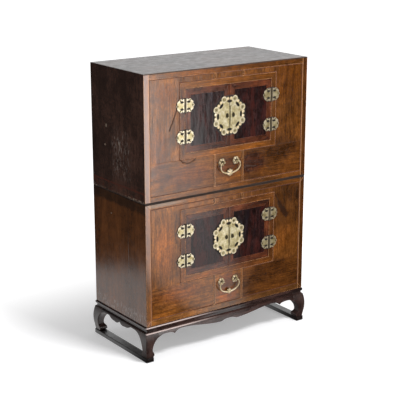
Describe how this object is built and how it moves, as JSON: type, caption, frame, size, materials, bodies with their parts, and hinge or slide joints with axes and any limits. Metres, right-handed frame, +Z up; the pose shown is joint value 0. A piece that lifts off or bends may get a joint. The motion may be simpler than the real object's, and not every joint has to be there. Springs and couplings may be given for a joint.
{
  "type": "korean two tier chest",
  "caption": "Tall stacked wooden chest on a low stand with curled feet and side runners, with hinged front doors, pierced brass plates and bail handles.",
  "frame": {"origin": "on the floor under the middle of the whole object's box", "axes": "+Z up, the doors face -Y, +X to the right as one faces the doors"},
  "size_m": [0.821, 0.418, 1.152],
  "materials": {
    "case_wood": "dark brown black stain under old wax",
    "front_wood": "figured brown wood, waxed, worn light at the edges",
    "door_wood": "reddish brown, waxed",
    "panel_wood": "dark purple black figured wood, waxed",
    "stand_wood": "black brown stain, polished",
    "back_wood": "plain dry wood",
    "brass": "pale yellow brass, satin, dull with age"
  },
  "bodies": {
    "stand": {"stand_frame": "stand_wood", "front_left_leg": "stand_wood", "front_right_leg": "stand_wood", "rear_left_leg": "stand_wood", "rear_right_leg": "stand_wood", "runners": "stand_wood", "front_apron": "stand_wood", "rear_apron": "stand_wood", "left_apron": "stand_wood", "right_apron": "stand_wood"},
    "lower_chest": {"lower_top_board": "case_wood", "lower_bottom_board": "case_wood", "lower_left_side": "case_wood", "lower_right_side": "case_wood", "lower_back_panel": "back_wood", "lower_field_boards": "front_wood", "lower_front_frame": "front_wood", "lower_door_surround": "front_wood", "lower_front_posts": "front_wood", "lower_frame_hinge_leaves": "brass", "lower_hinge_pins": "brass", "lower_handle_rosettes": "brass", "lower_handle_posts": "brass", "lower_frame_hinge_nails": "brass"},
    "lower_left_door": {"lower_left_door_frame": "door_wood", "lower_left_door_panel": "panel_wood", "lower_left_lock_plate": "brass", "lower_left_door_hinge_leaves": "brass", "lower_left_door_nails": "brass"},
    "lower_right_door": {"lower_right_door_frame": "door_wood", "lower_right_door_panel": "panel_wood", "lower_right_lock_plate": "brass", "lower_right_door_hinge_leaves": "brass", "lower_right_door_nails": "brass"},
    "lower_handle": {"lower_handle_bail": "brass"},
    "upper_chest": {"upper_top_board": "case_wood", "upper_bottom_board": "case_wood", "upper_left_side": "case_wood", "upper_right_side": "case_wood", "upper_back_panel": "back_wood", "upper_field_boards": "front_wood", "upper_front_frame": "front_wood", "upper_door_surround": "front_wood", "upper_front_posts": "front_wood", "upper_frame_hinge_leaves": "brass", "upper_hinge_pins": "brass", "upper_handle_rosettes": "brass", "upper_handle_posts": "brass", "upper_frame_hinge_nails": "brass"},
    "upper_left_door": {"upper_left_door_frame": "door_wood", "upper_left_door_panel": "panel_wood", "upper_left_lock_plate": "brass", "upper_left_door_hinge_leaves": "brass", "upper_left_door_nails": "brass"},
    "upper_right_door": {"upper_right_door_frame": "door_wood", "upper_right_door_panel": "panel_wood", "upper_right_lock_plate": "brass", "upper_right_door_hinge_leaves": "brass", "upper_right_door_nails": "brass"},
    "upper_handle": {"upper_handle_bail": "brass"}
  },
  "joints": [
    {"name": "lower_left_door_hinge", "type": "hinge", "parent": "lower_chest", "child": "lower_left_door", "pos_m": [-0.212, -0.1952, 0.452], "axis": [0, 0, -1], "range_deg": [0, 170]},
    {"name": "lower_right_door_hinge", "type": "hinge", "parent": "lower_chest", "child": "lower_right_door", "pos_m": [0.212, -0.1952, 0.452], "axis": [0, 0, 1], "range_deg": [0, 170]},
    {"name": "lower_handle_swing", "type": "hinge", "parent": "lower_chest", "child": "lower_handle", "pos_m": [0, -0.2035, 0.265], "axis": [-1, 0, 0], "range_deg": [0, 170]},
    {"name": "lower_chest_lift", "type": "slide", "parent": "stand", "child": "lower_chest", "axis": [0, 0, 1], "range_m": [0, 0.1]},
    {"name": "upper_left_door_hinge", "type": "hinge", "parent": "upper_chest", "child": "upper_left_door", "pos_m": [-0.212, -0.1952, 0.954], "axis": [0, 0, -1], "range_deg": [0, 170]},
    {"name": "upper_right_door_hinge", "type": "hinge", "parent": "upper_chest", "child": "upper_right_door", "pos_m": [0.212, -0.1952, 0.954], "axis": [0, 0, 1], "range_deg": [0, 170]},
    {"name": "upper_handle_swing", "type": "hinge", "parent": "upper_chest", "child": "upper_handle", "pos_m": [0, -0.2035, 0.767], "axis": [-1, 0, 0], "range_deg": [0, 170]},
    {"name": "upper_chest_lift", "type": "slide", "parent": "lower_chest", "child": "upper_chest", "axis": [0, 0, 1], "range_m": [0, 0.1]}
  ]
}
